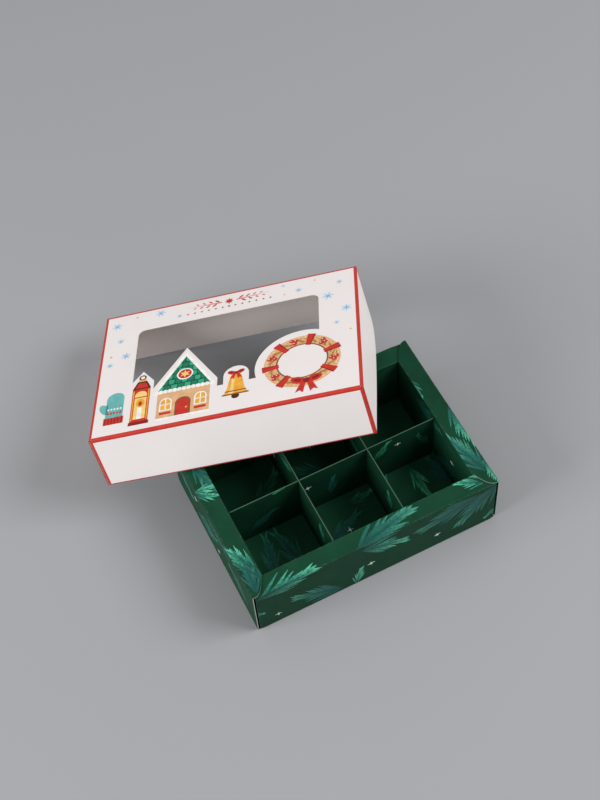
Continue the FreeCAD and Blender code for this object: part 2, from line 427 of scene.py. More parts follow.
def divider_board(colours):
    """Printed board of the dividers, green on both faces, pale along its cut top edge.

    The eye sees the tray's green, painted darker here as the shade of the cells, with a thin light line
    where the board was cut.
    """
    finish = Finish("folding_boxboard_divider_print_painted_shade")
    # The dividers' green is painted darker than the walls' ground: painted shade of the cells.
    ground = finish.mottled(colours.forest, 9 * MM, 0.62, 0.81)
    edge = finish.mottled(colours.divider_edge, 0.8 * MM, 0.8, 1.1)
    height = finish.add(SPLIT, {"Vector": finish.coords}).outputs["Z"]
    cut = finish.beyond(height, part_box("long_divider")[1].z - BOARD * CUT_SKIN)
    whole = finish.add(MIX, {0: cut, 6: ground, 7: edge}, data_type="RGBA")
    return finish.paper(whole, 0.5 * MM, 0.012 * MM, (0.42, 0.56), GROUND_SPECULAR)


def clear_film():
    """Clear polyester film, calendered smooth.

    The eye sees almost nothing of it: a faint veil and a soft gloss with long waves.
    """
    finish = Finish("polyester_film_clear")
    veil = finish.mottled(linear("#3C4042"), 25 * MM, 0.95, 1.05)
    finish.paper(veil, 18 * MM, 0.15 * MM, (0.04, 0.09))
    set_inputs(finish.tree, finish.shader, {"Alpha": 0.085, "IOR": 1.6})
    finish.material.surface_render_method = "DITHERED"
    return finish.material


# Pieces and folded board

# Places of the looks in a folded sheet's list of materials
FACE, BACK, EDGE, LINE, RIM = range(5)
# Faces that meet at more than this are shaded apart
SHARP_ANGLE = math.radians(50)


def make_piece(name, mesh, materials, body, slot, replaced=()):
    """Object from a finished mesh that rides on a body and may stand for CAD nodes."""
    made = bpy.data.objects.new(name, mesh)
    bpy.context.scene.collection.objects.link(made)
    for material in materials:
        mesh.materials.append(material)
    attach(made, body)
    if replaced:
        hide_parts(*replaced)


def dress_node(node, material):
    """Give a CAD node one finished material."""
    slots = frame["nodes"][node].data.materials
    slots.clear()
    slots.append(material)


def within(value, low, high):
    """Value held between two limits."""
    return min(max(value, low), high)


class FoldedSheet:
    """One strip of board folded along straight creases.

    A point of it is (u, v, w): u along the creases from the middle, v up the flat blank from
    its lower edge, and w above the printed face.
    """

    # How far the wear of a fold reaches, and where the rows beside a fold lie
    WEAR, BESIDE = 0.2 * MM, 0.25 * MM
    # Rows nearer to each other than this are one, and a row may lie this far past the end
    MERGE, ROUNDING = 1e-6, 1e-9

    def __init__(self, start, ahead, moves):
        self.parts = []
        self.length = 0.0
        point, ahead = Vector(start), Vector(ahead)
        for kind, size in moves:
            inward = Vector((ahead.y, -ahead.x))
            self.parts.append((self.length, kind, size, point, ahead, inward))
            if kind == "run":
                point = point + ahead * size
                self.length += size
            else:
                point = point + (ahead + inward) * size
                ahead = inward
                self.length += size * math.pi / 2

    def spans(self, kind):
        """Start and size of each run, or start and radius of each fold."""
        return [part[::2][:2] for part in self.parts if part[1] == kind]

    def profile(self, v, w=0.0):
        """Place across the folds, as depth and height, of a point of the blank."""
        v = within(v, 0.0, self.length)
        begin, kind, size, point, ahead, inward = [part for part in self.parts if part[0] <= v][-1]
        if kind == "run":
            return point + ahead * (v - begin) - inward * w
        sweep = (v - begin) / size
        out = ahead * math.sin(sweep) - inward * math.cos(sweep)
        return point + inward * size + out * (size + w)

    def crease(self, v):
        """1 on a fold, falling to 0 a little beyond it."""
        nearest = min(max(begin - v, v - begin - size * math.pi / 2, 0.0)
                      for begin, size in self.spans("fold"))
        return max(0.0, 1.0 - nearest / self.WEAR)

    def fold_lines(self, count=6):
        """Places along the blank where the sheet bends."""
        return [begin + size * math.pi / 2 * i / count
                for begin, size in self.spans("fold") for i in range(count + 1)]

    def stops(self, step, extra=()):
        """Places along the blank for the rows of a grid, close together beside each fold."""
        folds = self.fold_lines()
        beside = [line + shift for line in folds for shift in (-self.BESIDE, self.BESIDE)]
        marks = folds + [mark for mark in beside if self.crease(mark) == 0.0]
        marks += [0.0, self.length, *extra]
        for begin, size in self.spans("run"):
            count = max(1, round(size / step))
            marks += [begin + size * i / count for i in range(count + 1)]
        marks = sorted(mark for mark in marks if 0.0 <= mark <= self.length + self.ROUNDING)
        kept = [marks[0]]
        for mark in marks[1:]:
            if mark - kept[-1] > self.MERGE:
                kept.append(mark)
        return kept


def sheet_mesh(name, sheet, half, place, shares, rows, sort_face, rim=EDGE):
    """Closed shell of a folded sheet: printed face, back and cut edges.

    half gives the half width at a row, place puts (u, v, w) in the frame, shares are the columns
    as parts of the half width, sort_face picks the look of a face, and rim is that of the edges.
    """
    made = bmesh.new()
    crease = made.verts.layers.float.new("crease")
    front, back = [], []
    for grid, w in ((front, 0.0), (back, -BOARD)):
        for v in rows:
            line = [made.verts.new(place(share * half(v), v, w)) for share in shares]
            for vertex in line:
                vertex[crease] = sheet.crease(v)
            grid.append(line)
    last, end = len(rows) - 1, len(shares) - 1
    for i in range(last):
        middle_v = (rows[i] + rows[i + 1]) / 2
        for j in range(end):
            middle_u = (shares[j] + shares[j + 1]) / 2 * half(middle_v)
            over = made.faces.new((front[i][j], front[i][j + 1], front[i + 1][j + 1], front[i + 1][j]))
            under = made.faces.new((back[i][j], back[i + 1][j], back[i + 1][j + 1], back[i][j + 1]))
            over.material_index, under.material_index = sort_face(middle_u, middle_v), BACK
            over.smooth = under.smooth = True
    loop = [(0, j) for j in range(end)] + [(i, end) for i in range(last)]
    loop += [(last, j) for j in range(end, 0, -1)] + [(i, 0) for i in range(last, 0, -1)]
    for (i, j), (m, n) in zip(loop, loop[1:] + loop[:1]):
        quad = made.faces.new((front[i][j], back[i][j], back[m][n], front[m][n]))
        quad.material_index = rim
    bmesh.ops.recalc_face_normals(made, faces=made.faces)
    mesh = bpy.data.meshes.new(name)
    made.to_mesh(mesh)
    made.free()
    mesh.set_sharp_from_angle(angle=SHARP_ANGLE)
    return mesh


def even_shares(count):
    """Even steps from -1 to 1, with a number of them on each side of the middle."""
    return [i / count - 1 for i in range(2 * count + 1)]


def side_turn(turns):
    """Turn that brings a front piece round to one of the four sides."""
    return Matrix.Rotation(turns * math.pi / 2, 4, "Z")


# Tray

# Parts of one side's blank, in the order of tray_sheet
LEDGE_RUN, WELL_CREASE, FOOT_CREASE = 3, 4, 6
# Gap of the short walls at a corner, and how far from its end a ledge droops or springs
SHORT_WALL_GAP, CORNER_REACH = 0.05 * MM, 14 * MM
# Where a long ledge goes under the lap of a short one, and over what length it gets there
LAP_END, LAP_RAMP = 9 * MM, 6 * MM
# Shares of the board's wave that a ledge sags, and of a ledge's width that its corner moves
SAG_SHARE, CORNER_SHARE = 0.8, 0.8
# Step between rows, more rows for the rounded corners, and columns on each side of the middle
TRAY_STEP, CORNER_ROWS, TRAY_COLUMNS = 1.2 * MM, (0.2 * MM, 0.5 * MM), 16
# Straight pieces in which the print is trimmed along a ledge's end
LEDGE_CUTS = 8


def tray_sheet():
    """Folds of one side of the tray, from the floor crease to the hidden foot flap."""
    return FoldedSheet((FOLD, 0.0), (-1.0, 0.0), (
        ("fold", FOLD), ("run", TRAY.z - 2 * FOLD), ("fold", FOLD), ("run", LEDGE - 2 * FOLD),
        ("fold", FOLD), ("run", TRAY.z - BOARD - 2 * FOLD), ("fold", FOLD), ("run", FOOT),
    ))


def tray_half(sheet, turns, shape):
    """Half width of one side of the tray at each height of its blank.

    The end walls run to the corners and the long walls stop short of them, so that each corner
    shows a dark gap beside a cut edge; the short ledges lap over the long ones with rounded ends.
    """
    length = TRAY.y if turns % 2 else TRAY.x
    wall_gap = SHORT_WALL_GAP if turns % 2 else BOARD + shape.corner_gap
    lap = shape.ledge_lap if turns % 2 else 0.0
    round_off = shape.corner_round

    def half(v):
        depth, height = sheet.profile(v)
        share = min(1.0, depth / FOLD)
        limit = length / 2 - depth - wall_gap * (1 - share) - shape.mitre_gap * share
        if height > TRAY.z / 2:
            limit += lap * math.sin(math.pi * min(1.0, depth / (LEDGE - FOLD)))
        if depth < LEDGE / 2 and height < round_off:
            rounded = math.sqrt(round_off ** 2 - (round_off - height) ** 2)
            limit = min(limit, length / 2 - wall_gap - round_off + rounded)
        return limit

    return half


def tray_place(sheet, turns, shape):
    """Place of a point of one side's blank, with the slight bow and droop of folded board."""
    length, reach = (TRAY.y, TRAY.x / 2) if turns % 2 else (TRAY.x, TRAY.y / 2)
    wave = shape.board_wave
    turn = side_turn(turns)

    def place(u, v, w):
        depth, height = sheet.profile(v, w - INK_ROOM)
        span = 1 - (2 * u / length) ** 2
        swell = wave * span * math.sin(math.pi * within(height / TRAY.z, 0.0, 1.0))
        depth += -swell if depth > LEDGE / 2 else swell
        if height > TRAY.z - FOLD:
            height -= wave * SAG_SHARE * span * math.sin(math.pi * within(depth / LEDGE, 0.0, 1.0))
        from_end = length / 2 - abs(u)
        near_top = max(0.0, height / TRAY.z) ** 4
        corner = max(0.0, 1 - from_end / CORNER_REACH) ** 2
        corner *= max(0.0, 1 - depth / (LEDGE * CORNER_SHARE)) ** 2
        if turns % 2 == 0:
            under = within((LAP_END - from_end + depth) / LAP_RAMP, 0.0, 1.0)
            height -= (shape.corner_droop * corner + (BOARD + INK_ROOM) * under) * near_top
        elif (turn @ Vector((u, 0.0, 0.0))).y < 0:
            height += shape.corner_lift * corner * near_top
        return turn @ Vector((u, depth - reach, height))

    return place


class SWEETBOX_OT_tray_sides(bpy.types.Operator):
    """Fold the four printed sides of the tray"""

    bl_idname = "sweetbox.tray_sides"
    bl_label = "Tray sides"

    def execute(self, context):
        box = context.scene.sweet_box
        forest = forest_board(box.colours)
        # The hidden back of the tray's board takes the face's green print: painted shade that keeps the
        # corner gaps dark.
        looks = [forest, forest, cut_board(box.colours)]
        sheet = tray_sheet()
        rows = sheet.stops(TRAY_STEP, CORNER_ROWS)
        shares = even_shares(TRAY_COLUMNS)
        for turns, side in enumerate(SIDES):
            name = f"tray_{side}_side"
            mesh = sheet_mesh(
                name, sheet, tray_half(sheet, turns, box.shape), tray_place(sheet, turns, box.shape),
                shares, rows, lambda u, v: FACE)
            nodes = [f"tray_{side}_{part}" for part in ("outer_wall", "ledge", "inner_wall", "foot_flap")]
            make_piece(name, mesh, looks, "tray", "tray_board", nodes)
        return {"FINISHED"}


class SWEETBOX_OT_tray_floor(bpy.types.Operator):
    """Finish the tray's floor panel and the divider boards"""

    bl_idname = "sweetbox.tray_floor"
    bl_label = "Tray floor and dividers"

    def execute(self, context):
        colours = context.scene.sweet_box.colours
        # The floor's green is painted brighter than the walls': painted light in the cells.
        dress_node("tray_floor_panel", forest_board(colours, "floor", FLOOR_PAINTED_LIGHT))
        board = divider_board(colours)
        for node in BODIES["insert"]:
            dress_node(node, board)
        return {"FINISHED"}


# Lid

# How square the bow of a wall is along its length, and how fast it fades towards the crease
BOW_SQUARE, BOW_FADE = 2.6, 1.2
# Step between rows, and columns on each side of the middle
LID_STEP, LID_COLUMNS = 3 * MM, 14


def lid_sheet():
    """Folds of one wall of the lid, from its open rim to the top crease."""
    return FoldedSheet((0.0, 0.0), (0.0, 1.0), (("run", LID.z - FOLD), ("fold", FOLD)))


def lid_place(sheet, turns, half, bow, lean):
    """Place of a point of one lid wall's blank, bowed outwards along its rim, more so at one end."""
    reach = LID.x / 2 if turns % 2 else LID.y / 2
    turn = LID_PLACE @ side_turn(turns)

    def place(u, v, w):
        depth, height = sheet.profile(v, w)
        slack = max(0.0, 1 - height / (LID.z - FOLD))
        share = within(u / half, -1.0, 1.0)
        depth -= bow * (1 + lean * share) * (1 - abs(share) ** BOW_SQUARE) * slack ** BOW_FADE
        return turn @ Vector((u, depth - reach, height))

    return place


class SWEETBOX_OT_lid_walls(bpy.types.Operator):
    """Fold the four walls of the lid with their red border lines"""

    bl_idname = "sweetbox.lid_walls"
    bl_label = "Lid walls"

    def execute(self, context):
        box = context.scene.sweet_box
        shape, colours = box.shape, box.colours
        red = spot_ink("border_red", colours.border)
        # Dark red along the open rim and its cut edges: partly the printed red line, partly painted shade
        # of the cut edge.
        rim_red_and_shadow = spot_ink("rim_red_and_shadow", linear("#A83A38"))
        looks = [white_board(colours), raw_board(colours), cut_board(colours), red, rim_red_and_shadow]
        sheet = lid_sheet()
        rows = sheet.stops(LID_STEP, (shape.rim_line, LID.z - shape.wall_border))
        for turns, side in enumerate(SIDES):
            name = f"lid_{side}_panel"
            half = LID.y / 2 if turns % 2 else node_size_along(f"lid_{side}_wall") / 2
            inset = shape.wall_border if turns % 2 else shape.wall_border - BOARD - FOLD
            mark = 1 - inset / half
            shares = [-1.0] + [mark * share for share in even_shares(LID_COLUMNS)] + [1.0]
            # The right wall has no rim line, and its cut edges are as red as the border
            rim, cut = (FACE, LINE) if side == "right" else (RIM, RIM)
            bow = (shape.wall_bow, shape.bow_lean) if side == "right" else (shape.board_wave, 0.0)

            def sort_face(u, v):
                if abs(u) > half * mark or v > LID.z - shape.wall_border:
                    return LINE
                return rim if v < shape.rim_line else FACE

            mesh = sheet_mesh(name, sheet, lambda v: half, lid_place(sheet, turns, half, *bow),
                              shares, rows, sort_face, rim=cut)
            make_piece(name, mesh, looks, "lid", "lid_board", [f"lid_{side}_wall"])
        corner = corner_board(colours)
        for side in ("front", "back"):
            for hand in ("left", "right"):
                dress_node(f"lid_{side}_{hand}_tab", corner)
        return {"FINISHED"}


class SWEETBOX_OT_lid_top(bpy.types.Operator):
    """Finish the lid's windowed top and its film"""

    bl_idname = "sweetbox.lid_top"
    bl_label = "Lid top and film"

    def execute(self, context):
        box = context.scene.sweet_box
        dress_node("lid_top_panel", bordered_panel(box.colours, box.shape))
        dress_node("lid_window_film", clear_film())
        return {"FINISHED"}


# Print: flat ink is grown or cut in the plane of the blank, then laid on the folded board

# Leaf: a factor that brings its greatest width to 1, and the least width of its ends
LEAF_FULL, LEAF_LEAST = 2.6, 0.07
# Needles on a stem of length 1: place of the first, shift of each side, and room for all of them
FIRST_NEEDLE, SIDE_SHIFT, NEEDLE_ROOM = 0.06, 0.01, 0.8
# Limits of a needle's own turn in radians, of its growth, and of its pick, which shades it
NEEDLE_STRAY, NEEDLE_GROWTH, NEEDLE_PICK = (-0.12, 0.12), (0.8, 1.12), (0.0, 0.4)
# How much the pick rises towards the stem's tip
PICK_RISE = 0.6
# Length over which the wobble of the print wanders
WOBBLE_LENGTH = 7 * MM


def sprig_tree():
    """Geometry Nodes tree: a sprig of needles, or several turned about its root, on each point.

    The sprig is one unit long; a point's size, turn and tone attributes place each print of it.
    """
    tree = bpy.data.node_groups.new("radial_sprig_print", "GeometryNodeTree")
    sockets = {
        "Geometry": ("Geometry",),
        "Float": ("Stem Width", "Needle Length", "Needle Width", "Root Spread", "Tip Spread",
                  "Tip Share", "Layer Step", "Wobble"),
        "Int": ("Needles per Side", "Copies", "Seed"),
        "Material": ("Ink",),
    }
    for kind, names in sockets.items():
        for name in names:
            tree.interface.new_socket(name, in_out="INPUT", socket_type=f"NodeSocket{kind}")
    tree.interface.new_socket("Geometry", in_out="OUTPUT", socket_type="NodeSocketGeometry")
    add = functools.partial(add_node, tree)
    given = add("NodeGroupInput").outputs

    # One leaf: a strip from 0 to 1 along X, widest at a third of its length
    strip = add("GeometryNodeMeshGrid", {"Size X": 1.0, "Size Y": 1.0, "Vertices X": 7, "Vertices Y": 2})
    spot = add(SPLIT, {"Vector": add("GeometryNodeInputPosition")}).outputs
    along = add(MATH, {0: spot["X"], 1: 0.5}, operation="ADD")
    root = add(MATH, {0: along, 1: 0.5}, operation="POWER")
    rest = add(MATH, {0: LEAF_FULL, 1: along}, operation="MULTIPLY")
    rest = add(MATH, {0: LEAF_FULL, 1: rest}, operation="SUBTRACT")
    full = add(MATH, {0: root, 1: rest}, operation="MULTIPLY")
    full = add(MATH, {0: full, 1: LEAF_LEAST}, operation="MAXIMUM")
    wide = add(MATH, {0: spot["Y"], 1: full}, operation="MULTIPLY")
    leaf = add("GeometryNodeStoreNamedAttribute", {
        "Geometry": strip, "Name": "along", "Value": along}, data_type="FLOAT", domain="POINT")
    leaf = add("GeometryNodeSetPosition", {
        "Geometry": leaf, "Position": add(JOIN, {"X": along, "Y": wide})})

    # Needles along each side of the stem, lying flatter and shorter towards its tip
    last = add(MATH, {0: given["Needles per Side"], 1: 1.0}, operation="SUBTRACT")
    last = add(MATH, {0: last, 1: 1.0}, operation="MAXIMUM")
    index = add("GeometryNodeInputIndex")
    share = add(MATH, {0: index, 1: last}, operation="DIVIDE")
    gap = add(MATH, {0: NEEDLE_ROOM, 1: last}, operation="DIVIDE")
    lift = add(MATH, {0: index, 1: given["Layer Step"]}, operation="MULTIPLY")
    lean = add(MIX, {0: share, 2: given["Root Spread"], 3: given["Tip Spread"]})
    reach = add(MIX, {0: share, 2: 1.0, 3: given["Tip Share"]})
    parts = []
    for side in (1.0, -1.0):
        seed = add(MATH, {0: given["Seed"], 1: side}, operation="ADD")
        stray, grown, pick = (add(RANDOM, {2: low, 3: high, 8: seed}) for low, high in (
            NEEDLE_STRAY, NEEDLE_GROWTH, NEEDLE_PICK))
        line = add("GeometryNodeMeshLine", {
            "Count": given["Needles per Side"],
            "Start Location": (FIRST_NEEDLE - SIDE_SHIFT * side, 0.0, 0.0),
            "Offset": add(JOIN, {"X": gap})}, mode="OFFSET")
        stacked = add("GeometryNodeSetPosition", {"Geometry": line, "Offset": add(JOIN, {"Z": lift})})
        angle = add(MATH, {0: lean, 1: stray}, operation="ADD")
        angle = add(MATH, {0: angle, 1: side}, operation="MULTIPLY")
        long = add(MATH, {0: reach, 1: grown}, operation="MULTIPLY")
        long = add(MATH, {0: long, 1: given["Needle Length"]}, operation="MULTIPLY")
        needles = add("GeometryNodeInstanceOnPoints", {
            "Points": stacked, "Instance": leaf, "Rotation": add(JOIN, {"Z": angle}),
            "Scale": add(JOIN, {"X": long, "Y": given["Needle Width"], "Z": 1.0})})
        pick = add(MATH, {0: share, 1: PICK_RISE, 2: pick}, operation="MULTIPLY_ADD")
        parts.append(add("GeometryNodeStoreNamedAttribute", {
            "Geometry": needles, "Name": "pick", "Value": pick}, data_type="FLOAT", domain="INSTANCE"))
    top = add(MATH, {0: given["Needles per Side"], 1: given["Layer Step"]}, operation="MULTIPLY")
    parts.append(add("GeometryNodeTransform", {
        "Geometry": leaf, "Translation": add(JOIN, {"Z": top}),
        "Scale": add(JOIN, {"X": 1.0, "Y": given["Stem Width"], "Z": 1.0})}))
    whole = add("GeometryNodeJoinGeometry")
    for part in parts:
        set_inputs(tree, whole, {"Geometry": part})
    sprig = add("GeometryNodeRealizeInstances", {"Geometry": whole})

    # Copies turned about the root, then one print on each point
    spin = add(MATH, {0: math.tau, 1: given["Copies"]}, operation="DIVIDE")
    spin = add(MATH, {0: index, 1: spin}, operation="MULTIPLY")
    ring = add("GeometryNodeInstanceOnPoints", {
        "Points": add("GeometryNodePoints", {"Count": given["Copies"]}), "Instance": sprig,
        "Rotation": add(JOIN, {"Z": spin})})
    bundle = add("GeometryNodeRealizeInstances", {"Geometry": ring})
    turn, size = (add("GeometryNodeInputNamedAttribute", {"Name": name}, data_type="FLOAT")
                  for name in ("turn", "size"))
    prints = add("GeometryNodeInstanceOnPoints", {
        "Points": given["Geometry"], "Instance": bundle, "Rotation": add(JOIN, {"Z": turn}),
        "Scale": add(JOIN, {"X": size, "Y": size, "Z": 1.0})})
    flat = add("GeometryNodeRealizeInstances", {"Geometry": prints})

    # A slow wobble, so that no two prints are quite alike
    drift = add(NOISE, {"Scale": 1 / WOBBLE_LENGTH, "Detail": 1.0}).outputs["Color"]
    swing = add("ShaderNodeVectorMath", {0: drift, 1: (0.5, 0.5, 0.5)}, operation="SUBTRACT")
    push = add(JOIN, {"X": given["Wobble"], "Y": given["Wobble"]})
    swing = add("ShaderNodeVectorMath", {0: swing, 1: push}, operation="MULTIPLY")
    eased = add("GeometryNodeSetPosition", {"Geometry": flat, "Offset": swing})
    inked = add("GeometryNodeSetMaterial", {"Geometry": eased, "Material": given["Ink"]})
    add("NodeGroupOutput", {"Geometry": inked})
    return tree


# Neighbouring prints take turns on this many levels, so that their faces don't meet
PRINT_LEVELS = 3
# A cut takes corners this near to it as lying on it
CUT_SNAP = 1e-7
# How deep the ink's foot lies in the board, so that no gap shows under it
INK_FOOT = INK_ROOM / 4


def grow_print(tree, name, rows, lift, ink, **inputs):
    """Flat print on rows of (x, y, turn in degrees, size, tone), lengths in millimetres."""
    points = bpy.data.meshes.new(name)
    points.from_pydata([
        (x * MM, y * MM, lift * (1 + i % PRINT_LEVELS)) for i, (x, y, *_) in enumerate(rows)], [], [])
    columns = {
        "turn": [math.radians(row[2]) for row in rows],
        "size": [row[3] * MM for row in rows],
        "tone": [row[4] for row in rows],
    }
    for key, values in columns.items():
        points.attributes.new(key, "FLOAT", "POINT").data.foreach_set("value", values)
    holder = bpy.data.objects.new(name, points)
    bpy.context.scene.collection.objects.link(holder)
    grower = holder.modifiers.new("print", "NODES")
    grower.node_group = tree
    settings = {**inputs, "Ink": ink}
    for socket in tree.interface.items_tree:
        if socket.in_out == "INPUT" and socket.name in settings:
            grower[socket.identifier] = settings[socket.name]
    graph = bpy.context.evaluated_depsgraph_get()
    flat = bpy.data.meshes.new_from_object(
        holder.evaluated_get(graph), preserve_all_data_layers=True, depsgraph=graph)
    bpy.data.objects.remove(holder)
    made = bmesh.new()
    made.from_mesh(flat)
    return made


def lay_print(name, flat, place, body, slot, materials, trims=(), folds=()):
    """Trim flat ink to its panel, bend it at the folds and lay it on the board as thin prisms."""
    cuts = [(point, outward, True) for point, outward in trims]
    cuts += [((0, line, 0), (0, 1, 0), False) for line in folds]
    for point, outward, clear in cuts:
        everything = flat.verts[:] + flat.edges[:] + flat.faces[:]
        bmesh.ops.bisect_plane(flat, geom=everything, plane_co=point, plane_no=outward,
                               dist=CUT_SNAP, clear_outer=clear)
    loose = [vertex for vertex in flat.verts if not vertex.link_faces]
    bmesh.ops.delete(flat, geom=loose, context="VERTS")
    flat.verts.index_update()
    flat.normal_update()
    made = bmesh.new()
    layers = [(layer, made.verts.layers.float.new(layer.name))
              for layer in flat.verts.layers.float.values()]
    tops, roots = [], []
    for vertex in flat.verts:
        u, v, w = vertex.co
        for column, height in ((tops, w), (roots, -INK_FOOT)):
            copy = made.verts.new(place(u, v, height))
            for old, new in layers:
                copy[new] = vertex[old]
            column.append(copy)
    for old in flat.faces:
        steps = [(c.vert.index, c.link_loop_next.vert.index, c.edge.is_boundary) for c in old.loops]
        if old.normal.z < 0:
            steps = [(j, i, open_edge) for i, j, open_edge in reversed(steps)]
        order = [step[0] for step in steps]
        outlines = [[tops[i] for i in order], [roots[i] for i in reversed(order)]]
        outlines += [(tops[i], roots[i], roots[j], tops[j]) for i, j, open_edge in steps if open_edge]
        for corners in outlines:
            made.faces.new(corners).material_index = old.material_index
    flat.free()
    mesh = bpy.data.meshes.new(name)
    made.to_mesh(mesh)
    made.free()
    make_piece(name, mesh, materials, body, slot)


# Settings of the tree for a fir sprig, a four-rayed glint, a snowflake and the ring's straw
SPRIG = {
    "Stem Width": 0.05, "Needle Length": 0.52, "Needle Width": 0.056, "Root Spread": 0.42,
    "Tip Spread": 0.18, "Tip Share": 0.45, "Layer Step": 0.003 * MM, "Wobble": 0.9 * MM,
    "Needles per Side": 9, "Copies": 1,
}
GLINT = {
    "Stem Width": 0.15, "Needle Length": 0.4, "Needle Width": 0.1, "Root Spread": 0.8,
    "Tip Spread": 0.8, "Tip Share": 1.0, "Layer Step": 0.003 * MM, "Wobble": 0.0,
    "Needles per Side": 1, "Copies": 4,
}
FLAKE = {
    **GLINT, "Stem Width": 0.13, "Needle Length": 0.42, "Root Spread": 0.9, "Tip Spread": 0.9,
    "Tip Share": 0.6, "Needles per Side": 3, "Copies": 6,
}
STRAW = {
    **SPRIG, "Stem Width": 0.1, "Needle Length": 0.5, "Needle Width": 0.09, "Root Spread": 0.4,
    "Wobble": 0.5 * MM, "Needles per Side": 4,
}

# Fir print of the tray: rows of (along the side, up the blank, turn, size, tone) in millimetres
# Tones are partly the print's own dim and bright sprigs and partly painted light and shade: over 1 lifts
# sprigs on shaded faces, and the low tones on the dividers and in the wells darken them.
WALL_SPRIGS = {
    "front": (
        (-66.5, 33.5, 7, 33, 1.0), (-19.5, 2.5, 152, 30, 0.5), (-13, 0.5, 75, 14.5, 1.3),
        (-12.5, 36.5, 13, 35, 0.5), (-10, 33, -23, 28, 1.1), (59, 33, 195, 37, 0.34),
        (67, 37, 230, 34, 0.4), (61, 40, 156, 16, 1.1), (-71, 20.5, -25, 9.5, 1.0),
        (70, 12, 215, 12, 0.8), (61.5, 41, 138, 9.5, 1.2),
    ),
    "left": (
        (47, 40, 176, 22, 0.34), (34.5, 45.8, 211, 22, 1.15), (-17.5, 35.2, 84, 13.5, 1.35),
        (41, 46.5, 212, 18, 0.28), (33, 43.5, 200, 15, 1.05), (-15.5, 35.2, 66, 13, 1.2),
        (-33, 41, 15, 20, 0.42), (22, 26, 172, 26, 0.3), (-24, 8, 20, 28, 0.5),
        (40, 10, 160, 24, 0.5), (2, 20, 205, 22, 0.25), (-46, 28, -30, 22, 0.9),
    ),
    "right": (
        (5, 36.4, 181, 27, 0.8), (-40, 39, 17, 27, 0.55), (25.5, 47.4, 188, 12.5, 0.85),
        (-30, 36.2, 178, 17, 0.9), (-44, 6, 35, 30, 0.9), (-12, 30, -14, 24, 0.6),
        (44, 33, 196, 26, 0.95), (20, 1, 80, 15, 0.9), (47, 8, 165, 18, 0.5), (-2, 4, 165, 16, 0.7),
    ),
    "back": (
        (-62, 6, 22, 32, 0.9), (-30, 34, -12, 36, 0.62), (-6, 3, 160, 22, 0.55),
        (20, 36, 10, 36, 0.9), (64, 4, 158, 26, 0.95), (65, 32, 198, 22, 0.6),
        (-66, 30, -8, 24, 1.0), (0, 18, -35, 20, 0.8), (38, 20, 170, 22, 0.5),
    ),
}
WELL_SPRIGS = {
    "front": ((-40, 62, 20, 26, 0.5), (4, 70, 160, 26, 0.4), (34, 56, 200, 24, 0.5)),
    "left": ((-20, 60, 20, 24, 0.5), (24, 72, 150, 24, 0.45)),
    "right": ((-24, 70, 30, 24, 0.25), (20, 56, 190, 26, 0.3)),
    "back": ((-36, 58, -20, 26, 0.5), (6, 66, 200, 28, 0.45), (44, 60, 160, 24, 0.5)),
}
FLOOR_SPRIGS = (
    (-46, -27, 80, 25, 0.35), (-30, -29, 104, 27, 0.4), (3, -7, 10, 16, 0.9), (41.5, -1, 276, 22, 1.3),
    (56, -19, 100, 18, 0.3), (-14, -22, 25, 22, 0.3), (-40, 12, 40, 26, 0.5), (6, 14, 150, 26, 0.5),
    (40, 20, 240, 26, 0.4),
)
DIVIDER_SPRIGS = {
    "long_divider": ((-48, 8, 35, 18, 0.25), (-24.5, 37.5, 205, 9, 1.3), (-2, 8, 84, 16, 0.3),
                     (22.5, 20, 55, 15, 1.1), (54, 13, 115, 15, 0.3)),
    "left_short_divider": ((-24, 26, 20, 16, 0.6), (27, 13, 105, 15, 0.9)),
    "right_short_divider": ((-26, 22, -20, 18, 0.6), (26, 14, 105, 14, 0.8)),
}

# Glints of the same panels: places in millimetres
WALL_GLINTS = {
    "front": ((-55, 8.5), (-4, 14.5), (33, 11.5)),
    "left": ((3, 8), (-21, 24)),
    "right": ((-34, 25), (8, 12), (35, 20)),
    "back": ((-36.5, 26), (-4, 11), (28, 11), (53, 19)),
}
WELL_GLINTS = {"front": ((10, 60),), "left": ((2, 64),), "right": ((-18.5, 65),), "back": ((24, 60),)}
FLOOR_GLINTS = ((-1.6, -19.8), (2, 34))
DIVIDER_GLINTS = {
    "long_divider": ((36.2, 26.3), (-14.6, 23.7)), "left_short_divider": ((-30, 14),),
    "right_short_divider": ((-22, 20),),
}
# Length of a glint's ray in millimetres, how much longer every second one is, and their turns
GLINT_RAY, GLINT_GROWTH, GLINT_TURN = 1.8, 0.3, 8
# Seeds of the floor's and the dividers' print, counted on from the first
FLOOR_SEED, DIVIDER_SEED = 5, 7


def print_sheet(name, tree, rows, glints, seed, inks, lift, **where):
    """Lay the sprigs and the glints of one panel."""
    sprigs = grow_print(tree, name, rows, lift, inks[0], Seed=seed, **SPRIG)
    lay_print(f"{name}_fir_print", sprigs, materials=[inks[0]], **where)
    stars = [(x, y, GLINT_TURN * i, GLINT_RAY + GLINT_GROWTH * (i % 2), 1.0)
             for i, (x, y) in enumerate(glints)]
    spots = grow_print(tree, name, stars, lift * (PRINT_LEVELS + 1), inks[1], Seed=seed, **GLINT)
    lay_print(f"{name}_glint_print", spots, materials=[inks[1]], **where)


def end_trims(reach, axis=(1, 0, 0)):
    """Trims at both ends of a panel."""
    return [(Vector(axis) * hand * reach, Vector(axis) * hand) for hand in (1, -1)]


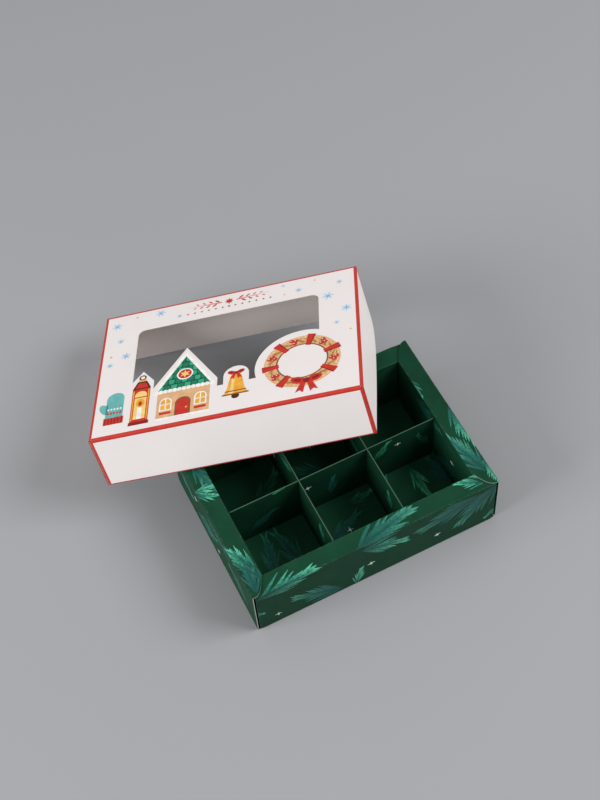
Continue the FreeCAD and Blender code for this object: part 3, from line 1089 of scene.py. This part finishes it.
class SWEETBOX_OT_fir_print(bpy.types.Operator):
    """Print fir sprigs and glints on the tray and the dividers"""

    bl_idname = "sweetbox.fir_print"
    bl_label = "Fir print"

    def execute(self, context):
        shape = context.scene.sweet_box.shape
        tree = sprig_tree()
        glint = spot_ink("glint_white", linear("#E8EFE4"))
        inks = (needle_ink("fir_green", "#15493E", "#2C7563", "#5AB695", "#1B4C49"), glint)
        # Sprigs in the wells, on the floor and on the dividers take a darker, greener ink; its darkness is
        # painted shade of the cells.
        painted_shade_inks = (needle_ink("fir_green_painted_shade", "#124A34", "#227A52", "#48AE80", "#14464A"), glint)
        sheet = tray_sheet()
        turn_over = sheet.parts[WELL_CREASE][0] + FOLD * math.pi / 4
        foot_line = sheet.parts[FOOT_CREASE][0]
        ledge_start, _, ledge_run = sheet.parts[LEDGE_RUN][:3]
        marks = [ledge_start + ledge_run * i / LEDGE_CUTS for i in range(LEDGE_CUTS + 1)]
        for turns, side in enumerate(SIDES):
            reach = TRAY.y / 2 if turns % 2 else TRAY.x / 2
            half = tray_half(sheet, turns, shape)
            skin = tray_place(sheet, turns, shape)

            def place(u, v, w):
                return skin(within(u, -half(v), half(v)), v, w)

            outside = [((0, turn_over, 0), (0, 1, 0)), ((0, FOLD, 0), (0, -1, 0))]
            for hand in (1, -1):
                outside.append(((hand * reach, 0, 0), (hand, 0, 0)))
                for low, high in zip(marks, marks[1:]):
                    slope = half(low) - half(high)
                    outside.append(((hand * half(low), low, 0), (hand * (high - low), slope, 0)))
            inside = [((0, turn_over, 0), (0, -1, 0)), ((0, foot_line, 0), (0, 1, 0))]
            inside += end_trims(reach - LEDGE)
            where = {"place": place, "body": "tray", "slot": "tray_board", "folds": sheet.fold_lines()}
            seed = shape.seed + turns
            print_sheet(f"tray_{side}", tree, WALL_SPRIGS[side], WALL_GLINTS[side], seed, inks,
                        shape.ink, trims=outside, **where)
            print_sheet(f"tray_{side}_well", tree, WELL_SPRIGS[side], WELL_GLINTS[side], seed, painted_shade_inks,
                        shape.ink, trims=inside, **where)

        well = TRAY / 2 - Vector((1, 1, 0)) * (LEDGE + BOARD)
        print_sheet("tray_floor", tree, FLOOR_SPRIGS, FLOOR_GLINTS, shape.seed + FLOOR_SEED, painted_shade_inks,
                    shape.ink, trims=end_trims(well.x) + end_trims(well.y, (0, 1, 0)),
                    place=lambda u, v, w: Vector((u, v, BOARD + w)), body="tray", slot="tray_board")

        for count, (node, rows) in enumerate(DIVIDER_SPRIGS.items()):
            low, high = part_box(node)
            size = high - low
            reaches = {0: -low.y, 2: high.y} if size.x > size.y else {1: high.x, 3: -low.x}
            trims = end_trims(max(size.x, size.y) / 2)
            trims += [((0, low.z, 0), (0, -1, 0)), ((0, high.z, 0), (0, 1, 0))]
            for turns, reach in reaches.items():
                turn = side_turn(turns)
                print_sheet(f"{node}_{SIDES[turns]}", tree, rows, DIVIDER_GLINTS[node],
                            shape.seed + DIVIDER_SEED + count, painted_shade_inks, shape.ink, trims=trims,
                            place=lambda u, v, w: turn @ Vector((u, -reach - w, v)),
                            body="insert", slot="insert_board")
        return {"FINISHED"}


# Lid print: motifs in flat patches of ink, in millimetres from the motif's own origin


def polar(reach, angle, x=0.0, y=0.0):
    """Point at a distance and an angle, in radians, from a centre."""
    return x + reach * math.cos(angle), y + reach * math.sin(angle)


def disc(x, y, radius, flat=1.0, turn=0.0, count=24):
    """Outline of a round or oval spot; flat is the share of its second radius."""
    points = []
    for i in range(count):
        across, up = polar(radius, math.tau * i / count)
        spot = Vector((across, up * flat))
        spot.rotate(Matrix.Rotation(math.radians(turn), 2))
        points.append((x + spot.x, y + spot.y))
    return points


def bar(x, y, width, height, round_top=False):
    """Outline of an upright bar on the middle of its foot, with a flat or a round top."""
    half = width / 2
    points = [(x - half, y), (x + half, y)]
    if round_top:
        return points + [polar(half, math.pi * i / 12, x, y + height - half) for i in range(13)]
    return points + [(x + half, y + height), (x - half, y + height)]


def diamond(x, y, half_width, half_height):
    """Outline of an upright diamond."""
    return [(x, y - half_height), (x + half_width, y), (x, y + half_height), (x - half_width, y)]


def star(x, y, radius, rays, waist=0.42):
    """Outline of a star with a number of rays, one of them upright."""
    return [polar(radius * waist if i % 2 else radius, math.pi / 2 + math.pi * i / rays, x, y)
            for i in range(2 * rays)]


class FlatPrint:
    """Patches of ink in the plane of a panel, each on a numbered layer."""

    # Degrees of a ring that one patch takes, and the least number of patches in a part of one
    ARC_STEP, ARC_LEAST = 9, 6

    def __init__(self, step, inks):
        self.mesh = bmesh.new()
        self.step = step
        self.origin = (0.0, 0.0)
        self.names = list(inks)
        self.materials = [spot_ink(name, linear(colour)) for name, colour in inks.items()]

    def patch(self, ink, layer, points):
        """Add one filled outline."""
        area = sum(a[0] * b[1] - b[0] * a[1] for a, b in zip(points, points[1:] + points[:1]))
        ordered = points if area > 0 else points[::-1]
        left, foot = self.origin
        corners = [self.mesh.verts.new(((left + x) * MM, (foot + y) * MM, layer * self.step))
                   for x, y in ordered]
        self.mesh.faces.new(corners).material_index = self.names.index(ink)

    def ring(self, ink, layer, outer, inner, start=0.0, end=360.0, y=0.0):
        """Add a ring, or a part of one between two angles."""
        count = max(self.ARC_LEAST, round((end - start) / self.ARC_STEP))
        for i in range(count):
            a, b = (math.radians(start + (end - start) * (i + k) / count) for k in (0, 1))
            self.patch(ink, layer, [polar(reach, angle, 0.0, y) for reach, angle in (
                (inner, a), (outer, a), (outer, b), (inner, b))])

    def bow(self, layer, x, y, size):
        """Add a red ribbon bow: two tails, two loops and a knot."""
        tail = ((0, 0), (0.35, -0.1), (0.75, -1.05), (0.45, -0.9), (0.25, -1.15))
        for hand in (-1, 1):
            side = hand * size
            self.patch("red", layer, [(x + side * u, y + size * v) for u, v in tail])
            self.patch("red", layer + 1,
                       disc(x + side * 0.55, y + size * 0.12, size * 0.52, 0.62, hand * 24))
            self.patch("deep_red", layer + 2,
                       disc(x + side * 0.6, y + size * 0.13, size * 0.27, 0.5, hand * 24))
        self.patch("deep_red", layer + 3, disc(x, y, size * 0.22, 1.1))


LID_INKS = {
    "red": "#C5352B", "deep_red": "#8C1F22", "gold": "#EBAA3E", "pale_gold": "#F6CF7C",
    "straw": "#DDB083", "brown": "#8A5433", "dark_brown": "#4A2A1E", "fir": "#1F7A5A",
    "deep_fir": "#125444", "mint": "#39A57F", "teal": "#6CB3B0", "deep_teal": "#3F8786",
    "white": "#F4F0EC",
}
# Gold stars of the lid, as (x, y, size), and its snowflakes, as rows of the sprig tree
GOLD_STARS = ((-50.8, 44.1, 0.8), (-62.7, 14, 0.9), (46.2, 44.1, 0.7), (64.0, -3, 0.8), (30, 37, 0.6))
SNOWFLAKES = (
    (-61.5, 39.5, 12, 2.6, 1.0), (-58.5, 25.9, 40, 1.7, 1.0), (-37.7, 43.5, 5, 2.5, 1.0),
    (-62.7, 7.0, 25, 1.7, 1.0), (29.3, 44.8, 0, 1.0, 1.0), (37.5, 38.4, 18, 1.8, 1.0),
    (59.2, 38.3, 33, 1.8, 1.0), (53.0, 28.0, 10, 2.9, 1.0), (62.4, 15.1, 28, 2.6, 1.0),
    (57.0, 4.5, 44, 1.5, 1.0), (-27.0, 37.5, 15, 1.4, 1.0), (-54.5, 12.5, 20, 2.4, 1.0),
)
# Straw of the ring: number of blades, their length and the layer they lie on
BLADES, BLADE_LENGTH, BLADE_LAYER = 44, 8.5, 1.5
# Three kinds of blade that take turns, as distance from the ring's centre and lean in degrees
BLADE_KINDS = ((17.8, 14), (14.4, -12), (16.2, 2))


def draw_wreath(ink):
    """Straw ring bound with red ribbon, with a bow at its foot; its straw is grown over it."""
    ink.ring("straw", 1, 19.5, 12.5)
    ink.ring("brown", 2, 13.3, 12.5)
    for angle in (20, 75, 130, 185, 235, 325):
        ink.ring("red", 8, 20.4, 11.9, angle - 6, angle + 6)
        ink.ring("deep_red", 9, 20.4, 11.9, angle - 6, angle - 4)
    for angle in (48, 104, 158, 212, 352):
        for step, reach in ((-3.5, 16.6), (3.5, 17.4), (0.5, 14.8)):
            x, y = polar(reach, math.radians(angle + step))
            ink.patch("red", 8, disc(x, y, 1.25))
            ink.patch("white", 9, disc(x - 0.4, y + 0.4, 0.32, count=10))
    ink.bow(9, 2, -15.5, 7.5)


def draw_mitten(ink):
    """Teal mitten with a ribbed cuff, a thumb and two bands of diamonds."""
    ink.patch("teal", 1, disc(-5.2, 12.0, 4.4, 0.52, 118))
    ink.patch("teal", 2, bar(0, 5, 9, 18.6, True))
    ink.patch("deep_teal", 3, [(-4.5, 8), (-3.6, 8), (-3.6, 16), (-4.5, 15)])
    for i in range(5):
        ink.patch("red", 3, diamond(-3.2 + 1.6 * i, 8.4, 0.7, 1.2))
        ink.patch("white", 3, diamond(-3.2 + 1.6 * i, 11.3, 0.6, 0.9))
    ink.patch("red", 2, bar(0, 0, 10.2, 5.2))
    for i in range(6):
        ink.patch("deep_red", 3, bar(-4.25 + 1.7 * i, 0.4, 0.45, 4.4))


def draw_bell(ink):
    """Gold bell with a bright flank, a banded rim, a clapper and a red bow."""
    shares = [i / 14 for i in range(15)]
    side = [(2.2 + 2.4 * share ** 0.55 + 2.2 * share ** 5, 19.5 - 15.5 * share) for share in shares]
    ink.patch("dark_brown", 1, disc(0, 3.0, 2.0))
    ink.patch("gold", 2, [(-w, h) for w, h in side] + [(w, h) for w, h in reversed(side)])
    flank = [(-w * 0.62, h) for w, h in side[:-1]] + [(-w * 0.2, h) for w, h in side[-2::-1]]
    ink.patch("pale_gold", 3, flank)
    ink.patch("brown", 4, bar(0, 6.4, 10.6, 0.8))
    ink.patch("brown", 4, bar(0, 4.0, 13.4, 1.0))
    ink.bow(5, 0, 20.6, 4.2)


def draw_lantern(ink):
    """Red lantern with a lit pane, a candle and a ring."""
    ink.patch("deep_red", 1, bar(0, 0, 10.4, 2.4))
    ink.patch("red", 2, bar(0, 2.4, 9.2, 24.6))
    ink.patch("pale_gold", 3, bar(0, 4.2, 6.2, 21.0, True))
    ink.patch("gold", 4, disc(0, 16.2, 2.3, 1.35))
    ink.patch("white", 5, bar(0, 4.2, 2.4, 8.6))
    ink.patch("red", 6, disc(0, 15.6, 0.95, 1.9))
    ink.patch("deep_red", 6, bar(0, 20.2, 6.2, 0.6))
    for hand in (-1, 1):
        ink.patch("gold", 3, bar(hand * 3.9, 3.4, 0.6, 22.6))
    ink.patch("dark_brown", 3, [(-4.8, 27), (4.8, 27), (2.4, 32.6), (-2.4, 32.6)])
    ink.patch("red", 4, [(-3.4, 27.8), (3.4, 27.8), (1.8, 31.6), (-1.8, 31.6)])
    ink.patch("gold", 4, bar(0, 32.6, 4.2, 1.1))
    ink.ring("dark_brown", 4, 1.9, 1.2, y=35.6)


def draw_house(ink):
    """House under a steep shingled roof, with lit windows and a round-topped door."""
    foot, ridge, half, rows = 21.5, 49.6, 15.6, 7
    ink.patch("straw", 1, bar(0, 0, 27, 23))
    ink.patch("deep_fir", 3, [(-half, foot), (half, foot), (0, ridge)])
    shingle = ((-0.86, 3.6), (-0.86, 1.2), (-0.5, 0.3), (0.5, 0.3), (0.86, 1.2), (0.86, 3.6))
    for row in range(rows):
        level = foot + (ridge - foot) * row / rows
        reach = half * (1 - (row + 0.7) / rows)
        count = max(1, round(reach / 1.7))
        for i in range(count):
            spot = -reach + reach * (2 * i + 1) / count
            ink.patch("fir" if (row + i) % 2 else "mint", 4, [
                (spot + reach / count * u, level + v) for u, v in shingle])
    for hand in (-1, 1):
        ink.patch("white", 5, [
            (hand * (half + 0.7), foot - 0.8), (hand * (half - 1.4), foot - 0.8),
            (0, ridge - 3.6), (0, ridge + 0.6)])
    for i in range(13):
        ink.patch("white", 6, disc(-14.4 + 2.4 * i, foot - 0.6, 1.35, count=16))
    ink.patch("white", 6, disc(0, foot + 10.5, 4.3))
    ink.patch("red", 7, disc(0, foot + 10.5, 3.5))
    ink.patch("pale_gold", 8, star(0, foot + 10.5, 3.0, 6))
    ink.patch("brown", 2, bar(0, 0, 8.0, 14.5, True))
    ink.patch("red", 3, bar(0, 0, 6.4, 13.4, True))
    ink.patch("gold", 4, disc(1.9, 6.2, 0.6, count=12))
    for x in (-8.9, 8.9):
        ink.patch("white", 2, bar(x, 6.4, 6.4, 9.4, True))
        ink.patch("gold", 3, bar(x, 7.1, 5.0, 8.0, True))
        ink.patch("white", 4, bar(x, 7.1, 0.6, 8.0))
        ink.patch("white", 4, bar(x, 10.6, 5.0, 0.6))
        ink.patch("red", 2, bar(x, 3.6, 6.0, 1.8))
    ink.patch("white", 5, bar(0, 0, 27.6, 1.2))


def draw_flourish(ink):
    """Line ornament over the window: a star between tapering stems with leaves and beads."""
    ink.patch("red", 1, star(0, 3.2, 2.6, 8, 0.5))
    for hand in (-1, 1):
        ink.patch("red", 1, [(hand * 4, 3.6), (hand * 22, 4.1), (hand * 4, 2.9)])
        for i in range(4):
            spot, leaf = 6.5 + 3.6 * i, 1.5 - 0.2 * i
            ink.patch("red", 2, disc(hand * spot, 5.0 + 0.1 * i, leaf, 0.36, hand * 38))
            ink.patch("red", 2, disc(hand * (spot + 1.4), 1.9 + 0.2 * i, leaf, 0.36, hand * -38))
        for i in range(6):
            ink.patch("deep_red", 1, star(hand * (3.4 + 3.8 * i), -1.2, 0.8, 4, 0.45))
    ink.patch("deep_red", 1, star(0, -1.2, 1.0, 4, 0.45))


class SWEETBOX_OT_lid_print(bpy.types.Operator):
    """Print the motifs, the snowflakes and the line ornament on the lid's top"""

    bl_idname = "sweetbox.lid_print"
    bl_label = "Lid print"

    def execute(self, context):
        shape = context.scene.sweet_box.shape
        tree = bpy.data.node_groups["radial_sprig_print"]
        where = {
            "place": lambda u, v, w: LID_PLACE @ Vector((u, v, LID.z + w)),
            "body": "lid", "slot": "lid_board",
        }
        # Places of the motifs, mostly by shares of the lid's size from its middle
        length, width = LID.x / MM, LID.y / MM
        foot = 5.2 - width / 2
        wreath = (0.285 * length, -0.208 * width)
        motifs = {
            draw_wreath: wreath,
            draw_mitten: (-0.415 * length, foot + 4.0),
            draw_bell: (0.040 * length, foot + 4.2),
            draw_lantern: (-0.318 * length, foot),
            draw_house: (-0.155 * length, foot),
            draw_flourish: (0.0, 38.5),
        }
        ink = FlatPrint(shape.ink, LID_INKS)
        for draw, origin in motifs.items():
            ink.origin = origin
            draw(ink)
        ink.origin = (0.0, 0.0)
        for x, y, radius in GOLD_STARS:
            ink.patch("gold", 1, star(x, y, radius, 4, 0.6))
        lay_print("lid_motif_print", ink.mesh, materials=ink.materials, **where)

        straw_ink = needle_ink("straw", "#A8713F", "#D9A971", "#F0D0A4", "#A8713F")
        blades = []
        for i in range(BLADES):
            angle = math.tau * i / BLADES
            reach, lean = BLADE_KINDS[i % len(BLADE_KINDS)]
            turn = math.degrees(angle) + 90 + lean
            blades.append((*polar(reach, angle, *wreath), turn, BLADE_LENGTH, 1.0))
        straw = grow_print(tree, "straw", blades, shape.ink * BLADE_LAYER, straw_ink,
                           Seed=shape.seed, **STRAW)
        lay_print("lid_straw_print", straw, materials=[straw_ink], **where)

        snow_ink = spot_ink("snow_blue", linear("#8DBFE4"))
        snow = grow_print(tree, "snow", SNOWFLAKES, shape.ink, snow_ink, Seed=shape.seed, **FLAKE)
        lay_print("lid_snowflake_print", snow, materials=[snow_ink], **where)
        return {"FINISHED"}


# Stage

FLOOR_RADIUS = 6.0
SOFT_BOX_SIZE = 0.8
SOFT_BOXES = {"left": (-1.36, 0.0, 0.634), "right": (0.92, -0.53, 1.06)}
# Height of the camera's sensor in millimetres, and the nearest distance that it shows
SENSOR_HEIGHT, NEAR_LIMIT = 36.0, 0.01


class SWEETBOX_OT_stage(bpy.types.Operator):
    """Set the plain floor, the soft light and the camera"""

    bl_idname = "sweetbox.stage"
    bl_label = "Stage"

    def execute(self, context):
        box, scene = context.scene.sweet_box, context.scene
        stage = box.stage
        scene.view_settings.view_transform = "Standard"
        bpy.ops.mesh.primitive_circle_add(
            vertices=96, radius=FLOOR_RADIUS, fill_type="NGON", location=(0, 0, 0))
        floor = context.object
        floor.name = "studio_floor"
        finish = Finish("matt_paper_backdrop")
        set_inputs(finish.tree, finish.shader, {
            "Base Color": finish.mottled(box.colours.floor, 0.4, 0.99, 1.01), "Roughness": 0.9})
        floor.data.materials.append(finish.material)

        scene.world = bpy.data.worlds.new("plain_surround")
        scene.world.use_nodes = True
        surround = scene.world.node_tree
        set_inputs(surround, surround.nodes["Background"], {
            "Color": (1.0, 1.0, 1.0, 1.0), "Strength": stage.fill})

        for hand, place in SOFT_BOXES.items():
            lamp = bpy.data.lights.new(f"soft_box_{hand}", "AREA")
            lamp.shape = "RECTANGLE"
            lamp.size = lamp.size_y = SOFT_BOX_SIZE
            lamp.energy = stage.left_key if hand == "left" else stage.right_key
            light = bpy.data.objects.new(f"soft_box_{hand}", lamp)
            scene.collection.objects.link(light)
            light.location = place
            light.rotation_euler = (-light.location).to_track_quat("-Z", "Y").to_euler()

        lens = bpy.data.cameras.new("photo_camera")
        lens.sensor_fit = "VERTICAL"
        lens.sensor_height = SENSOR_HEIGHT
        lens.lens = stage.lens
        lens.clip_start = NEAR_LIMIT
        camera = bpy.data.objects.new("photo_camera", lens)
        scene.collection.objects.link(camera)
        turn = Euler((math.pi / 2 - stage.elevation, 0.0, stage.azimuth)).to_matrix()
        camera.rotation_euler = (turn @ Matrix.Rotation(-stage.roll, 3, "Z")).to_euler()
        camera.location = stage.eye
        scene.camera = camera
        return {"FINISHED"}


class SWEETBOX_PT_panel(bpy.types.Panel):
    """Sidebar panel of the sweet box"""

    bl_idname = "SWEETBOX_PT_panel"
    bl_label = "Sweet Box"
    bl_space_type = "VIEW_3D"
    bl_region_type = "UI"
    bl_category = "Sweet Box"

    def draw(self, context):
        box = context.scene.sweet_box
        for group in (box.shape, box.colours, box.stage):
            column = self.layout.column()
            for name in group.__annotations__:
                column.prop(group, name)
        for operator in OPERATORS:
            self.layout.operator(operator.bl_idname)


OPERATORS = (
    SWEETBOX_OT_tray_sides,
    SWEETBOX_OT_tray_floor,
    SWEETBOX_OT_lid_walls,
    SWEETBOX_OT_lid_top,
    SWEETBOX_OT_fir_print,
    SWEETBOX_OT_lid_print,
    SWEETBOX_OT_stage,
)
CLASSES = (CartonShape, CartonColours, CartonStage, SweetBox) + OPERATORS + (SWEETBOX_PT_panel,)


def register():
    for cls in CLASSES:
        bpy.utils.register_class(cls)
    bpy.types.Scene.sweet_box = PointerProperty(type=SweetBox)


def unregister():
    del bpy.types.Scene.sweet_box
    for cls in reversed(CLASSES):
        bpy.utils.unregister_class(cls)


def main():
    register()
    bpy.ops.sweetbox.tray_sides()
    bpy.ops.sweetbox.tray_floor()
    bpy.ops.sweetbox.lid_walls()
    bpy.ops.sweetbox.lid_top()
    bpy.ops.sweetbox.fir_print()
    bpy.ops.sweetbox.lid_print()
    bpy.ops.sweetbox.stage()


if __name__ == "__main__":
    main()
